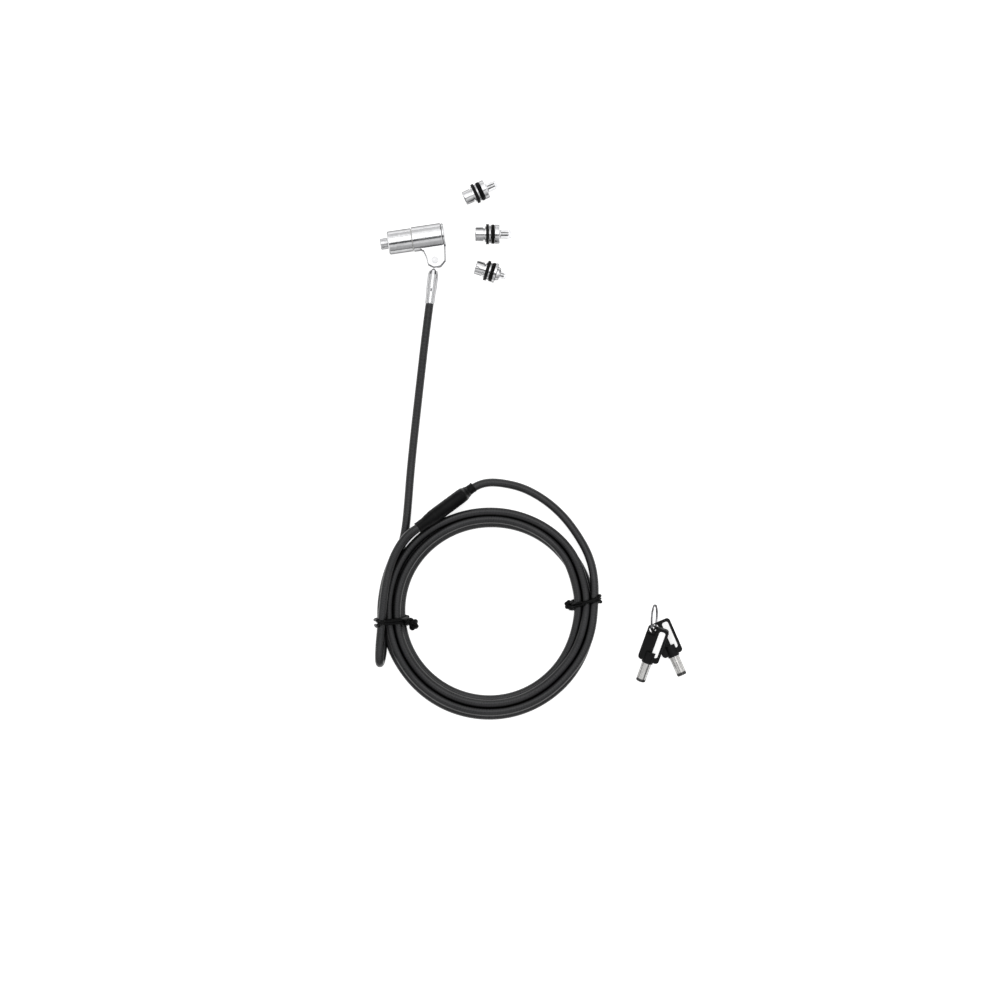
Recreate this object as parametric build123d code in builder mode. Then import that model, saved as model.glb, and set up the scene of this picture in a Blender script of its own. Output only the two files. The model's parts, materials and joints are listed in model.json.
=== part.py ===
"""Laptop cable lock: keyed barrel with a hinged, looped security cable, three tips and two keys.

The set lies flat on z = 0.  +Y runs from the coil to the lock head, +Z points up.  All sizes in mm.
"""
import os
from math import atan2, cos, degrees, hypot, radians, sin, sqrt, tan

from build123d import *

os.makedirs("parts", exist_ok=True)

# ---------------------------------------------------------------- driving dimensions
CABLE_R = 2.75                       # outside radius of the coated cable

BARREL_ANGLE = 8.5                   # direction of the barrel's axis in plan
COLLAR_R = 8.3                       # swivel collar, which rests on the floor
HOUSING_R = 7.8                      # front housing
BARREL_MID = (-78.8, 128.6, COLLAR_R)
BARREL_HALF = 18.9                   # half of the barrel's length
COLLAR_FRONT = -2.3                  # the collar's front face, along the barrel
TUBE_R = 6.6                         # core tube, outside
TUBE_BORE_R = 5.0
RUN = 0.05                           # radial running clearance
FACE_GAP = 0.08                      # gap between faces that turn on each other
NOSE_R = 3.7
NOSE_OUT = 5.2                       # how far the nose stands out of the housing
NOSE_NECK_R = 3.45                   # where it turns in its bushing
PIN_X, PIN_Y = 10.3, -15.9           # hinge pin, in the barrel's own plan axes
HINGE_R = 1.5
TONGUE_T = 3.9                       # thickness of the ferrule's tongue
LUG_T = 9.0
LUG_EDGE = 0.8                       # chamfer round the lug's faces

PIN_COUNT = 7                        # pin stacks of the tubular lock
PIN_CIRCLE_R = 2.7
PIN_R = 0.5
POST_R = 1.9
KEYWAY_R = 3.4

FERRULE_ANGLE = -96.9                # direction from the hinge pin to the cable, in plan
FERRULE_LEN = 29.1

COIL_C = (-29.1, -120.9)
COIL_IN, COIL_OUT, COIL_H = 55.6, 70.6, 10.6

SOCKET_R = 4.6
SOCKET_BORE_R = 3.75
FLANGE_R = 6.75
HEAD_SHAFT_R = 1.2

BOW_T = 4.4
BOW_X = (-3.3, 11.05)                # bow outline about its ring hole
BOW_Y = (-21.5, 2.9)
KEY_TUBE_X = 3.9
KEY_TUBE_R = 3.2
KEY_TUBE_LEN = 14.8
RING_HOLE_R = 2.2
TAB_T, TAB_SIZE = 1.8, 6.2           # thin corner of the bow round the ring hole
LABEL_X, LABEL_Y = (4.9, 9.1), (-17.6, 0.9)
LABEL_SINK = 0.25                    # how far the label insert lies below the bow's faces
HOLDER_R, HOLDER_LEN = 3.9, 8.0      # round boss of the bow that holds the shaft
NOTCHES = (1.3, 2.3, 1.7, 2.6, 1.5, 2.0, 2.5)   # depth of the cuts round the shaft's end
RING_R = 8.5
RING_WIRE_R = 0.55


# ---------------------------------------------------------------- helpers
def save(part, name):
    part.label = name
    export_step(part, f"parts/{name}.step")


def plan_plane(origin, angle):
    """A level plane whose local X runs at this angle in plan."""
    a = radians(angle)
    return Plane(origin=origin, x_dir=(cos(a), sin(a), 0), z_dir=(0, 0, 1))


def turned(plane, outline):
    """A body of revolution about the plane's local X; outline is (x, radius) points."""
    with BuildPart() as body:
        with BuildSketch(plane):
            with BuildLine():
                Polyline(*outline, close=True)
            make_face()
        revolve(axis=Axis(plane.origin, plane.x_dir))
    return body.part


def ring_outline(x0, x1, r_in, r_out, edge=0.0):
    """Outline of a ring from x0 to x1, with small chamfers on its outer edges."""
    if edge == 0:
        return [(x0, r_in), (x0, r_out), (x1, r_out), (x1, r_in)]
    return [(x0, r_in), (x0, r_out - edge), (x0 + edge, r_out),
            (x1 - edge, r_out), (x1, r_out - edge), (x1, r_in)]


def across(plane, x):
    """The plane square to the given plane's local X, at x."""
    return Plane(origin=plane.from_local_coords((x, 0, 0)), x_dir=plane.y_dir, z_dir=plane.x_dir)


def route_radii(points):
    """Radius of the tangent arc at each inner point of a cord's route."""
    radii = []
    for before, here, after in zip(points, points[1:], points[2:]):
        a, b = Vector(*here) - Vector(*before), Vector(*after) - Vector(*here)
        half_turn = radians(a.get_angle(b)) / 2
        radii.append(0.45 * min(a.length, b.length) / tan(half_turn))
    return radii


def cord_tube(name, points):
    """A round tube along straight runs joined by tangent arcs."""
    radii = route_radii(points)
    print(name, "arc radii", [round(r, 1) for r in radii])
    with BuildPart() as tube:
        with BuildLine() as line:
            FilletPolyline(*points, radius=radii)
        start = line.wires()[0]
        with BuildSketch(Plane(origin=start @ 0, z_dir=start % 0)):
            Circle(CABLE_R)
        sweep()
    print(name, "length", round(start.length, 1), "volume ratio",
          round(tube.part.volume / (3.14159265 * CABLE_R ** 2 * start.length), 4))
    save(tube.part, name)


# ---------------------------------------------------------------- lock barrel: rotating collar
barrel = plan_plane(BARREL_MID, BARREL_ANGLE)
REAR = BARREL_HALF
FRONT = -BARREL_HALF
LUG_OUTLINE = [(0.8, -5.0), (0.8, -6.9), (3.6, -9.2), (4.7, -13.0), (5.3, -18.4), (8.6, -20.9),
               (13.6, -20.9), (17.4, -17.6), (18.6, -8.0), (18.6, -5.0)]
with BuildPart() as swivel_collar:
    with BuildSketch(across(barrel, COLLAR_FRONT)):
        Circle(COLLAR_R)
    extrude(amount=REAR - 1.6 - COLLAR_FRONT)
    for level, height, taper in ((-LUG_T / 2 + LUG_EDGE, LUG_T - 2 * LUG_EDGE, 0),
                                 (LUG_T / 2 - LUG_EDGE, LUG_EDGE, 45),
                                 (-LUG_T / 2 + LUG_EDGE, -LUG_EDGE, 45)):
        with BuildSketch(barrel.offset(level)):
            with BuildLine():
                Polyline(*LUG_OUTLINE, close=True)
            make_face()
            fillet(vertices().group_by(Axis.Y)[0], radius=1.6)
        extrude(amount=height, taper=taper)
    with BuildSketch(across(barrel, COLLAR_FRONT)):
        Circle(TUBE_R + RUN)
    extrude(amount=3 * BARREL_HALF, mode=Mode.SUBTRACT)
    with BuildSketch(across(barrel, REAR - 1.6)):
        Circle(COLLAR_R - 0.3)
    extrude(amount=4, mode=Mode.SUBTRACT)
    with BuildSketch(barrel.offset(-TONGUE_T / 2 - 0.15)):
        with Locations((PIN_X, PIN_Y - 7.4)):
            Rectangle(20, 23.4)
    extrude(amount=TONGUE_T + 0.3, mode=Mode.SUBTRACT)
    with BuildSketch(barrel.offset(-LUG_T)):
        with Locations((PIN_X, PIN_Y)):
            Circle(HINGE_R)
    extrude(amount=2 * LUG_T, mode=Mode.SUBTRACT)
    chamfer(edges().filter_by(GeomType.CIRCLE).sort_by(lambda e: -e.radius)[0:1], length=0.3)
save(swivel_collar.part, "swivel_collar")

PIN_HEAD_R = 2.3
PIN_HEAD_T = 0.7
with BuildPart() as hinge_pin:
    with BuildSketch(barrel.offset(-LUG_T / 2 - PIN_HEAD_T)):
        with Locations((PIN_X, PIN_Y)):
            Circle(HINGE_R)
    extrude(amount=LUG_T + 2 * PIN_HEAD_T)
    for level in (-LUG_T / 2 - PIN_HEAD_T, LUG_T / 2):
        with BuildSketch(barrel.offset(level)):
            with Locations((PIN_X, PIN_Y)):
                Circle(PIN_HEAD_R)
        extrude(amount=PIN_HEAD_T)
save(hinge_pin.part, "hinge_pin")

# ---------------------------------------------------------------- lock barrel: housing and core
HOUSING_END = -2.9
HOUSING_BACK = HOUSING_END - 0.1
NOSE_SEAT = FRONT + 3.0
save(turned(barrel, [(FRONT, 5.2), (FRONT, HOUSING_R - 0.7), (FRONT + 0.7, HOUSING_R),
                     (HOUSING_BACK, HOUSING_R), (HOUSING_BACK, TUBE_R), (NOSE_SEAT, TUBE_R),
                     (NOSE_SEAT, 5.2)]), "front_housing")
save(turned(barrel, ring_outline(HOUSING_END, COLLAR_FRONT - 0.1, TUBE_R + RUN, HOUSING_R - 0.3)),
     "swivel_washer")
save(turned(barrel, ring_outline(FRONT, NOSE_SEAT - FACE_GAP, NOSE_NECK_R + RUN, 5.2)), "nose_bushing")

FACE_WALL = 2.0
FACE_IN = REAR - FACE_WALL
DOWEL_R, DOWEL_X, DOWEL_IN = 0.8, 0.0, 4.15
dowel_seat = Plane(origin=barrel.from_local_coords((DOWEL_X, DOWEL_IN, 0)), x_dir=barrel.x_dir,
                   z_dir=barrel.y_dir)
DOWEL_LEN = TUBE_R - DOWEL_IN - 0.1
with BuildPart() as core_tube:
    with BuildSketch(across(barrel, NOSE_SEAT)):
        Circle(TUBE_R)
        Circle(TUBE_BORE_R, mode=Mode.SUBTRACT)
    extrude(amount=FACE_IN - NOSE_SEAT)
    with BuildSketch(across(barrel, FACE_IN)):
        Circle(TUBE_R)
        Circle(KEYWAY_R, mode=Mode.SUBTRACT)
        with Locations((0, KEYWAY_R)):
            Rectangle(1.3, 1.6, mode=Mode.SUBTRACT)
    extrude(amount=FACE_WALL)
    with BuildSketch(dowel_seat):
        Circle(DOWEL_R)
    extrude(amount=DOWEL_LEN + 1, mode=Mode.SUBTRACT)
save(core_tube.part, "core_tube")
save(turned(barrel, ring_outline(REAR - 1.5, REAR + 0.2, TUBE_R, COLLAR_R - 0.4, 0.4)), "key_face_ring")

STATOR_BACK, SHEAR = -4.0, 6.95
HOLE_DEPTH = 7.6
PIN_HOLE_R = PIN_R + RUN
with BuildPart() as stator:
    with BuildSketch(across(barrel, STATOR_BACK)):
        Circle(TUBE_BORE_R)
        Circle(POST_R + RUN, mode=Mode.SUBTRACT)
    extrude(amount=SHEAR - STATOR_BACK)
    with BuildSketch(across(barrel, SHEAR)):
        with PolarLocations(PIN_CIRCLE_R, PIN_COUNT):
            Circle(PIN_HOLE_R)
    extrude(amount=-HOLE_DEPTH, mode=Mode.SUBTRACT)
    with BuildSketch(dowel_seat):
        Circle(DOWEL_R)
    extrude(amount=DOWEL_LEN, mode=Mode.SUBTRACT)
save(stator.part, "stator")

ROTOR_FRONT = SHEAR + FACE_GAP
ROTOR_BACK = FACE_IN - FACE_GAP
KEY_DEPTH = 3.4
with BuildPart() as rotor:
    with BuildSketch(across(barrel, ROTOR_FRONT)):
        Circle(TUBE_BORE_R - RUN)
        Circle(POST_R, mode=Mode.SUBTRACT)
        with PolarLocations(PIN_CIRCLE_R, PIN_COUNT):
            Circle(PIN_HOLE_R, mode=Mode.SUBTRACT)
    extrude(amount=ROTOR_BACK - ROTOR_FRONT)
    with BuildSketch(across(barrel, ROTOR_BACK)):
        Circle(KEYWAY_R)
        Circle(POST_R, mode=Mode.SUBTRACT)
    extrude(amount=-KEY_DEPTH, mode=Mode.SUBTRACT)
save(rotor.part, "rotor")

# seven pin stacks: key pins in the rotor, driver pins and springs in the stator
PIN_REST = 0.04
KEY_PIN_LEN = 6.6
DRIVER_LEN = 3.4
with BuildPart() as key_pins:
    with BuildSketch(across(barrel, ROTOR_FRONT + PIN_REST)):
        with PolarLocations(PIN_CIRCLE_R, PIN_COUNT):
            Circle(PIN_R)
    extrude(amount=KEY_PIN_LEN)
save(key_pins.part, "key_pins")
with BuildPart() as driver_pins:
    with BuildSketch(across(barrel, SHEAR - PIN_REST)):
        with PolarLocations(PIN_CIRCLE_R, PIN_COUNT):
            Circle(PIN_R)
    extrude(amount=-DRIVER_LEN)
save(driver_pins.part, "driver_pins")

SPRING_WIRE_R = 0.11
SPRING_R = 0.36
SPRING_TURNS = 6
spring_space = HOLE_DEPTH - PIN_REST - DRIVER_LEN - 0.3
spring_axis = across(barrel, SHEAR - HOLE_DEPTH + 0.15)
one_spring_path = Helix(pitch=spring_space / SPRING_TURNS, height=spring_space, radius=SPRING_R)
with BuildPart() as one_spring:
    with BuildLine():
        add(one_spring_path)
    with BuildSketch(Plane(origin=one_spring_path @ 0, z_dir=one_spring_path % 0)):
        RegularPolygon(SPRING_WIRE_R, 6)
    sweep(is_frenet=True)
springs = []
for n in range(PIN_COUNT):
    turn = radians(n * 360 / PIN_COUNT)
    place = spring_axis * Pos(PIN_CIRCLE_R * cos(turn), PIN_CIRCLE_R * sin(turn), 0.12)
    springs.append(place * one_spring.part)
save(Compound(children=springs), "pin_springs")

with BuildPart() as stator_dowel:
    with BuildSketch(dowel_seat):
        Circle(DOWEL_R)
    extrude(amount=DOWEL_LEN)
save(stator_dowel.part, "stator_dowel")

SPINDLE_FRONT = FRONT + 1.5
save(turned(barrel, [(SPINDLE_FRONT, 0), (SPINDLE_FRONT, POST_R), (REAR - 0.9, POST_R),
                     (REAR - 0.5, POST_R - 0.4), (REAR - 0.5, 0)]), "spindle")
NOSE_TIP = FRONT - NOSE_OUT
DRIVE_R = 4.8
with BuildPart() as drive_nose:
    with BuildSketch(barrel):
        with BuildLine():
            Polyline((NOSE_TIP, 0), (NOSE_TIP, NOSE_R - 0.5), (NOSE_TIP + 0.5, NOSE_R),
                     (FRONT - 0.4, NOSE_R), (FRONT - 0.4, NOSE_NECK_R), (NOSE_SEAT, NOSE_NECK_R),
                     (NOSE_SEAT, DRIVE_R), (NOSE_SEAT + 2.4, DRIVE_R),
                     (NOSE_SEAT + 2.4, POST_R), (SPINDLE_FRONT, POST_R), (SPINDLE_FRONT, 0), close=True)
        make_face()
    revolve(axis=Axis(barrel.origin, barrel.x_dir))
    with BuildSketch(across(barrel, NOSE_TIP)):
        Rectangle(1.2, 4.4)
    extrude(amount=1.6, mode=Mode.SUBTRACT)
save(drive_nose.part, "drive_nose")
THRUST_X = NOSE_SEAT + 2.4 + FACE_GAP
save(turned(barrel, ring_outline(THRUST_X, THRUST_X + 0.6, POST_R + RUN, TUBE_BORE_R)), "thrust_washer")
save(turned(barrel, ring_outline(STATOR_BACK - 1.0, STATOR_BACK - 0.1, POST_R, 3.4)), "spindle_clip")

# ---------------------------------------------------------------- cable: hinged end ferrule
hinge_xyz = barrel.from_local_coords((PIN_X, PIN_Y, 0))
ferrule = plan_plane(hinge_xyz, FERRULE_ANGLE)
TONGUE_R = 3.6
with BuildPart() as cable_ferrule:
    with BuildSketch(ferrule.offset(-TONGUE_T / 2)):
        Circle(TONGUE_R)
        with Locations((3.6, 0)):
            Rectangle(7.2, 4.8)
        Circle(HINGE_R + RUN, mode=Mode.SUBTRACT)
    extrude(amount=TONGUE_T)
    with BuildSketch(ferrule):
        with BuildLine():
            Polyline((5.6, 0), (5.6, 1.95), (6.6, 2.4), (9.4, 3.45), (19.0, 3.45), (21.0, 3.2),
                     (FERRULE_LEN - 0.4, 3.1), (FERRULE_LEN, 2.8), (FERRULE_LEN, 0), close=True)
        make_face()
    revolve(axis=Axis(ferrule.origin, ferrule.x_dir))
save(cable_ferrule.part, "cable_ferrule")

# ---------------------------------------------------------------- cable: lead, coil, tail and eye loop
ferrule_end = ferrule.from_local_coords((FERRULE_LEN, 0, 0))
LEAD = [tuple(ferrule_end), (-72.2, 67.0, 8.0), (-74.9, 44.0, 6.6), (-77.9, 18.0, 4.4),
        (-80.6, -6.0, 2.95), (-82.8, -28.0, 2.75), (-84.3, -48.0, 2.8), (-86.0, -66.0, 2.75),
        (-90.0, -81.5, 2.75), (-95.0, -96.0, 2.75)]
cord_tube("cable_lead", LEAD)

with BuildPart() as cable_coil:
    with BuildSketch(Plane.XZ.offset(-COIL_C[1])):
        with Locations((COIL_C[0] + (COIL_IN + COIL_OUT) / 2, COIL_H / 2)):
            RectangleRounded(COIL_OUT - COIL_IN, COIL_H, 2.6)
    revolve(axis=Axis((*COIL_C, 0), (0, 0, 1)))
save(cable_coil.part, "cable_coil")

SLEEVE_NECK = (-40.4, -36.8, 3.4)
SLEEVE_END = (-77.9, -64.5, 8.5)
TAIL = [(40.4, -113.0, 8.2), (40.3, -97.0, 7.4), (36.9, -83.0, 5.0), (30.2, -70.5, 3.1), (20.6, -57.2, 2.8),
        (8.2, -45.9, 2.75), (-6.4, -37.6, 2.9), (-20.4, -34.2, 2.75), (-31.6, -33.6, 3.0), SLEEVE_NECK]
cord_tube("cable_tail", TAIL)

sleeve_run = Vector(*SLEEVE_END) - Vector(*SLEEVE_NECK)
sleeve = Plane(origin=SLEEVE_NECK, x_dir=Vector(0, 0, 1).cross(sleeve_run).normalized(),
               z_dir=sleeve_run.normalized())
SLEEVE_LEN = sleeve_run.length
STACK = 2 * CABLE_R + 0.1            # height between the loop's two stacked strands
NECK_LEN = 5.0
BODY_W, BODY_H = 5.1, 6.3            # half sizes of the sleeve's oval body
FERRULE_FROM, FERRULE_TO = 10.0, SLEEVE_LEN - 9.0
BODY_UP = STACK / 2                 # the oval is centred between the two strands
with BuildPart() as loop_sleeve:
    with BuildSketch(sleeve):
        Circle(3.2)
    extrude(amount=NECK_LEN + 1)
    for start, end in ((NECK_LEN, 11.0), (11.0, SLEEVE_LEN - 5), (SLEEVE_LEN - 5, SLEEVE_LEN)):
        for station in (start, end):
            narrow = station in (NECK_LEN, SLEEVE_LEN)
            half_w = 4.1 if narrow else BODY_W
            half_h = 5.7 if station == SLEEVE_LEN else (3.6 if narrow else BODY_H)
            lift = 0.3 if station == NECK_LEN else BODY_UP
            with BuildSketch(sleeve.offset(station)):
                with Locations((0, lift)):
                    Ellipse(half_w, half_h)
        loft()
    with BuildSketch(sleeve.offset(FERRULE_FROM + 1.5)):
        with Locations((0, BODY_UP)):
            Ellipse(BODY_W - 0.8, BODY_H - 0.8)
    extrude(amount=FERRULE_TO - FERRULE_FROM - 3, mode=Mode.SUBTRACT)
save(loop_sleeve.part, "loop_sleeve")
with BuildPart() as loop_ferrule:
    with BuildSketch(sleeve.offset(FERRULE_FROM + 1.6)):
        with Locations((0, BODY_UP)):
            Ellipse(BODY_W - 0.9, BODY_H - 0.9)
    extrude(amount=FERRULE_TO - FERRULE_FROM - 3.2)
save(loop_ferrule.part, "loop_ferrule")
upper_exit = Vector(*SLEEVE_END) + sleeve.y_dir * STACK
print("upper exit", upper_exit)
LOOP = [SLEEVE_END, (-84.5, -70.0, 8.5), (-90.4, -78.0, 8.4), (-96.2, -89.0, 8.3), (-100.2, -102.0, 8.1),
        (-102.4, -118.0, 8.0), (-101.6, -133.0, 6.0), (-100.8, -145.0, 3.1), (-102.5, -154.6, 2.75),
        (-103.3, -154.6, 13.2), (-103.3, -145.0, 12.9), (-102.2, -133.0, 12.9), (-100.9, -118.0, 13.4),
        (-99.0, -101.5, 13.5), (-95.6, -88.0, 13.7), (-90.6, -77.0, 13.9), (-83.8, -68.0, 14.1),
        tuple(upper_exit)]
cord_tube("cable_loop", LOOP)


# ---------------------------------------------------------------- twist ties
def twist_tie(name, angle, r_in, r_out, height, knob_len):
    """Two turns of tie wire round the bundle, with the twisted ends standing out at one side."""
    wire_r = 0.9
    a = radians(angle)
    radial = Vector(cos(a), sin(a), 0)
    along = Vector(-sin(a), cos(a), 0)
    mid = Vector(COIL_C[0], COIL_C[1], wire_r + height / 2) + radial * (r_in + r_out) / 2
    plane = Plane(origin=mid, x_dir=radial, z_dir=along * (-1))
    with BuildPart() as tie:
        for shift in (-1.2, 1.2):
            with BuildSketch(plane.offset(shift - wire_r)):
                RectangleRounded(r_out - r_in + 2 * wire_r, height + 2 * wire_r, 3.6)
                RectangleRounded(r_out - r_in - 2 * wire_r, height - 2 * wire_r, 1.8, mode=Mode.SUBTRACT)
            extrude(amount=2 * wire_r)
        root = Vector(*COIL_C, height * 0.55) + radial * (r_in + wire_r / 2)
        inward = Plane(origin=root, x_dir=radial * (-1), z_dir=along)
        with BuildSketch(inward):
            with BuildLine():
                Polyline((0, 0), (0, 1.7), (knob_len - 2.4, 1.7), (knob_len - 1.6, 2.5),
                         (knob_len + 1.6, 2.5), (knob_len + 2.4, 1.7), (knob_len + 2.4, 0), close=True)
            make_face()
        revolve(axis=Axis(inward.origin, inward.x_dir))
    save(tie.part, name)


twist_tie("twist_tie_left", 185.0, 55.4, 76.6, 15.4, 6.0)
twist_tie("twist_tie_right", 5.5, 55.0, 73.6, 10.6, 5.2)


# ---------------------------------------------------------------- interchangeable tips
def knurled_ring(plane, x0, x1, r_in, r_out, notches):
    with BuildPart() as body:
        with BuildSketch(across(plane, x0)):
            Circle(r_out)
            Circle(r_in, mode=Mode.SUBTRACT)
            with PolarLocations(r_out + 0.25, notches):
                Circle(0.6, mode=Mode.SUBTRACT)
        extrude(amount=x1 - x0)
    return body.part


def tip(name, centre, angle, kind):
    """One tip: socket, stem, thumb ring, two washers, face plate, locating prongs and turning head."""
    plane = plan_plane((centre[0], centre[1], FLANGE_R), angle)
    back = -12.2
    stem_r = 3.0
    ring_at, backing_at, washer_at = back + 7.2, back + 9.2, back + 10.6
    plate_at, prong_at = back + 13.0, back + 15.0
    plate_end = prong_at + 1.2
    with BuildPart() as socket:
        with BuildSketch(plane):
            with BuildLine():
                Polyline((back, SOCKET_BORE_R), (back, SOCKET_R - 0.4), (back + 0.4, SOCKET_R),
                         (back + 5.4, SOCKET_R), (back + 5.4, 3.9), (ring_at - 0.7, 3.9),
                         (ring_at - 0.7, SOCKET_R + 0.6), (ring_at, SOCKET_R + 0.6), (ring_at, stem_r),
                         (plate_end, stem_r), (plate_end, HEAD_SHAFT_R + RUN),
                         (back + 5.2, HEAD_SHAFT_R + RUN), (back + 5.2, SOCKET_BORE_R - 0.4),
                         (back + 3.2, SOCKET_BORE_R - 0.4), (back + 3.2, SOCKET_BORE_R), close=True)
            make_face()
        revolve(axis=Axis(plane.origin, plane.x_dir))
        if kind == "wedge":
            with BuildSketch(across(plane, back)):
                Rectangle(1.0, 2.4 * SOCKET_R)
            extrude(amount=2.6, mode=Mode.SUBTRACT)
    save(socket.part, f"{name}_socket")
    save(knurled_ring(plane, ring_at, backing_at - 0.1, stem_r, FLANGE_R, 24), f"{name}_thumb_ring")
    save(turned(plane, ring_outline(backing_at, washer_at - 0.1, stem_r, FLANGE_R - 1.0, 0.2)),
         f"{name}_backing_washer")
    save(turned(plane, ring_outline(washer_at, plate_at - 0.1, stem_r, FLANGE_R - 0.3, 0.4)),
         f"{name}_washer")
    plate_r = FLANGE_R - (0.4 if kind != "wedge" else 0.1)
    prong_w, prong_h, prong_len = (1.5, 2.6, 5.8) if kind != "wedge" else (1.0, 2.0, 3.6)
    with BuildPart() as plate:
        with BuildSketch(plane):
            with BuildLine():
                if kind == "wedge":
                    Polyline((plate_at, stem_r), (plate_at, plate_r), (plate_at + 1.5, plate_r),
                             (plate_at + 1.9, 4.6), (plate_end, 4.4), (plate_end, stem_r), close=True)
                else:
                    Polyline((plate_at, stem_r), (plate_at, plate_r - 0.3), (plate_at + 0.3, plate_r),
                             (plate_end - 0.4, plate_r), (plate_end, plate_r - 0.4), (plate_end, stem_r),
                             close=True)
            make_face()
        revolve(axis=Axis(plane.origin, plane.x_dir))
    save(plate.part, f"{name}_face_plate")
    nose_at = plate_end + 0.05
    base_r = 3.0 if kind != "wedge" else 4.2
    with BuildPart() as prongs:
        with BuildSketch(across(plane, nose_at)):
            Circle(base_r)
            Circle(HEAD_SHAFT_R + 0.15, mode=Mode.SUBTRACT)
        extrude(amount=0.8, taper=12)
        offset_y = HEAD_SHAFT_R + 0.15 + prong_w / 2
        with BuildSketch(across(plane, nose_at)):
            with Locations((offset_y, 0), (-offset_y, 0)):
                Rectangle(prong_w, prong_h)
        extrude(amount=prong_len)
    save(prongs.part, f"{name}_prongs")
    head_from = nose_at + prong_len + 0.1
    bar_w, bar_len = (5.5, 1.7) if kind == "t_bar" else ((4.4, 1.5) if kind == "wedge" else (5.0, 1.6))
    shift = 0.0 if kind != "hook" else 0.3
    with BuildPart() as head:
        with BuildSketch(across(plane, back + 3.25)):
            Circle(SOCKET_BORE_R - 0.45)
        extrude(amount=1.9)
        with BuildSketch(across(plane, back + 5.0)):
            Circle(HEAD_SHAFT_R)
        extrude(amount=head_from - back - 5.0 + 0.2)
        with BuildSketch(across(plane, head_from)):
            with Locations((shift, 0)):
                Rectangle(bar_w, 2.4)
        extrude(amount=bar_len)
        with BuildSketch(across(plane, back + 3.25)):
            Rectangle(4.2, 1.1)
        extrude(amount=1.0, mode=Mode.SUBTRACT)
    save(head.part, f"{name}_turn_head")


TIPS = (("tip_standard", (-27.1, 132.0), 0.0, "t_bar"),
        ("tip_mini", (-35.5, 160.8), 24.6, "hook"),
        ("tip_wedge", (-27.5, 106.5), -17.0, "wedge"))
for tip_name, tip_centre, tip_angle, tip_kind in TIPS:
    tip(tip_name, tip_centre, tip_angle, tip_kind)


# ---------------------------------------------------------------- keys and ring
def key(name, plane):
    """A key about its ring hole: local X across the bow, local Y away from the shaft, Z square to it."""
    label_mid = (sum(LABEL_X) / 2, sum(LABEL_Y) / 2)
    label_w, label_h = LABEL_X[1] - LABEL_X[0], LABEL_Y[1] - LABEL_Y[0]
    width, height = BOW_X[1] - BOW_X[0], BOW_Y[1] - BOW_Y[0]
    mid = (sum(BOW_X) / 2, sum(BOW_Y) / 2)
    holder = Plane(origin=plane.from_local_coords((KEY_TUBE_X, BOW_Y[0] - 1.2, 0)), x_dir=plane.x_dir,
                   z_dir=plane.y_dir)
    with BuildPart() as bow:
        with BuildSketch(plane.offset(-BOW_T / 2)):
            with Locations(mid):
                RectangleRounded(width, height, 2.2)
            with Locations(label_mid):
                RectangleRounded(label_w, label_h, 1.4, mode=Mode.SUBTRACT)
        extrude(amount=BOW_T)
        chamfer(faces().filter_by(Axis(plane.origin, plane.z_dir)).edges(), length=0.4)
        for side in (-1, 1):
            with BuildSketch(plane.offset(side * BOW_T / 2)):
                with Locations((TAB_SIZE / 2 + BOW_X[0], BOW_Y[1] - TAB_SIZE / 2)):
                    Rectangle(TAB_SIZE, TAB_SIZE)
            extrude(amount=-side * (BOW_T - TAB_T) / 2, mode=Mode.SUBTRACT)
        with BuildSketch(plane.offset(-BOW_T / 2)):
            Circle(RING_HOLE_R)
        extrude(amount=BOW_T, mode=Mode.SUBTRACT)
        with BuildSketch(holder):
            Circle(HOLDER_R)
        extrude(amount=HOLDER_LEN)
        with BuildSketch(Plane(origin=plane.from_local_coords((KEY_TUBE_X, BOW_Y[0] - 2.0, 0)),
                               x_dir=plane.x_dir, z_dir=plane.y_dir)):
            Circle(KEY_TUBE_R)
        extrude(amount=6.8, mode=Mode.SUBTRACT)
    save(bow.part, f"{name}_bow")
    with BuildPart() as label:
        with BuildSketch(plane.offset(-BOW_T / 2 + LABEL_SINK)):
            with Locations(label_mid):
                RectangleRounded(label_w - 0.04, label_h - 0.04, 1.38)
        extrude(amount=BOW_T - 2 * LABEL_SINK)
        with BuildSketch(holder):
            Circle(HOLDER_R + 0.02)
        extrude(amount=HOLDER_LEN + 0.02, mode=Mode.SUBTRACT)
    save(label.part, f"{name}_label")
    shaft = Plane(origin=plane.from_local_coords((KEY_TUBE_X, BOW_Y[0] + 4.8, 0)), x_dir=plane.x_dir,
                  z_dir=plane.y_dir * (-1))
    shaft_len = KEY_TUBE_LEN + 4.8
    with BuildPart() as tube:
        with BuildSketch(shaft):
            Circle(KEY_TUBE_R)
        extrude(amount=shaft_len)
        with BuildSketch(shaft.offset(shaft_len)):
            Circle(2.15)
        extrude(amount=-9.0, mode=Mode.SUBTRACT)
        chamfer(faces().sort_by(Axis(shaft.origin, shaft.z_dir))[-1].edges(), length=0.4)
        for place, depth in zip(PolarLocations(PIN_CIRCLE_R + 0.75, PIN_COUNT), NOTCHES):
            with BuildSketch(shaft.offset(shaft_len)):
                with Locations(place):
                    Circle(0.6)
            extrude(amount=-depth, mode=Mode.SUBTRACT)
    save(tube.part, f"{name}_tube")


def key_plane(hole, yaw, dip):
    """Plane of a key: yaw turns it in plan, dip lowers the shaft end."""
    flat_y = Vector(-sin(radians(yaw)), cos(radians(yaw)), 0)
    x_dir = Vector(cos(radians(yaw)), sin(radians(yaw)), 0)
    y_dir = flat_y * cos(radians(dip)) + Vector(0, 0, 1) * sin(radians(dip))
    return Plane(origin=hole, x_dir=x_dir, z_dir=x_dir.cross(y_dir))


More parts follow.
